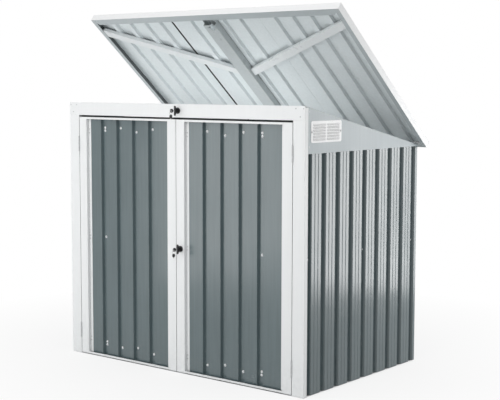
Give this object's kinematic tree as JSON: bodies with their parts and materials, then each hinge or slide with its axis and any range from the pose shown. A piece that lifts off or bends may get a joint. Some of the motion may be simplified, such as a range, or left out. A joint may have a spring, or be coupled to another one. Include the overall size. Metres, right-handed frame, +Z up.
{
  "type": "bin store",
  "caption": "Low steel shed for wheeled bins: corrugated sheet walls in folded frames, hinged double doors with a keyed lock, and a braced lift-up lid with its own lock",
  "frame": {"origin": "on the ground, at the middle of the four ground-anchor holes in the side base rails", "axes": "+X to the object's right as seen from the front, -Y out of the door front, +Z up"},
  "size_m": [1.576, 1.057, 1.7592],
  "materials": {
    "frame_white": "satin white powder coat",
    "wall_grey": "satin grey coil coat",
    "gable_pale": "satin pale grey",
    "inner_frame": "satin pale grey",
    "lid_pale": "satin pale grey coil coat",
    "lid_trim": "satin grey powder coat",
    "zinc": "zinc plated",
    "lock_black": "black gloss",
    "key_steel": "nickel plated"
  },
  "bodies": {
    "carcass": {"left_gable": "gable_pale", "right_gable": "gable_pale", "gable_vents": "frame_white", "front_left_post": "frame_white", "front_right_post": "frame_white", "header": "frame_white", "front_sill": "frame_white", "left_wall": "wall_grey", "right_wall": "wall_grey", "rear_right_wall": "wall_grey", "rear_left_wall": "wall_grey", "rear_posts": "inner_frame", "left_base_rail": "inner_frame", "right_base_rail": "inner_frame", "rear_base_rail": "inner_frame", "top_rails": "inner_frame", "mid_rails": "inner_frame", "frame_hinge_leaves": "zinc", "lid_hinge_wall_leaves": "zinc", "lid_lock_barrel": "lock_black"},
    "left_door": {"left_door_hinge_stile": "frame_white", "left_door_meeting_stile": "frame_white", "left_door_top_rail": "frame_white", "left_door_mid_rail": "inner_frame", "left_door_bottom_rail": "frame_white", "left_door_sheet": "wall_grey", "left_door_hinge_leaves": "zinc", "left_door_bolt_guide": "zinc"},
    "right_door": {"right_door_hinge_stile": "frame_white", "right_door_meeting_stile": "frame_white", "right_door_top_rail": "frame_white", "right_door_mid_rail": "inner_frame", "right_door_bottom_rail": "frame_white", "right_door_sheet": "wall_grey", "right_door_hinge_leaves": "zinc", "door_lock_barrel": "lock_black"},
    "lid": {"lid_left_sheet": "lid_pale", "lid_middle_sheet": "lid_pale", "lid_right_sheet": "lid_pale", "lid_centre_beam": "lid_pale", "lid_braces": "lid_pale", "lid_lock_keeper": "lid_pale", "lid_front_trim": "lid_trim", "lid_rear_trim": "lid_trim", "lid_left_trim": "lid_trim", "lid_right_trim": "lid_trim", "lid_hinge_leaves": "zinc"},
    "lid_lock": {"lid_lock_knob": "lock_black", "lid_lock_cam": "zinc", "lid_lock_key": "key_steel"},
    "door_lock": {"door_lock_knob": "lock_black", "door_lock_cam": "zinc", "door_lock_key": "key_steel"},
    "lid_keys": {"lid_lock_spare_key": "key_steel"},
    "door_keys": {"door_lock_spare_key": "key_steel"},
    "slide_bolt": {"left_door_bolt": "zinc"}
  },
  "joints": [
    {"name": "lid_hinge", "type": "hinge", "parent": "carcass", "child": "lid", "pos_m": [0, 0.482, 1.09495], "axis": [-1, 0, 0], "range_deg": [-27.3, 40]},
    {"name": "left_door_hinge", "type": "hinge", "parent": "carcass", "child": "left_door", "pos_m": [-0.683, -0.4795, 0.6], "axis": [0, 0, -1], "range_deg": [0, 110]},
    {"name": "right_door_hinge", "type": "hinge", "parent": "carcass", "child": "right_door", "pos_m": [0.683, -0.4795, 0.6], "axis": [0, 0, 1], "range_deg": [0, 110]},
    {"name": "lid_lock_turn", "type": "hinge", "parent": "carcass", "child": "lid_lock", "pos_m": [0, -0.4775, 1.272], "axis": [0, 1, 0], "range_deg": [0, 90]},
    {"name": "door_lock_turn", "type": "hinge", "parent": "right_door", "child": "door_lock", "pos_m": [0.013, -0.4763, 0.609], "axis": [0, 1, 0], "range_deg": [0, 90]},
    {"name": "lid_keys_swing", "type": "hinge", "parent": "lid_lock", "child": "lid_keys", "pos_m": [0, -0.5259, 1.26965], "axis": [1, 0, 0], "range_deg": [-30, 30]},
    {"name": "door_keys_swing", "type": "hinge", "parent": "door_lock", "child": "door_keys", "pos_m": [0.013, -0.5247, 0.60665], "axis": [1, 0, 0], "range_deg": [-30, 30]},
    {"name": "bolt_slide", "type": "slide", "parent": "left_door", "child": "slide_bolt", "axis": [0, 0, 1], "range_m": [0, 0.02]}
  ]
}
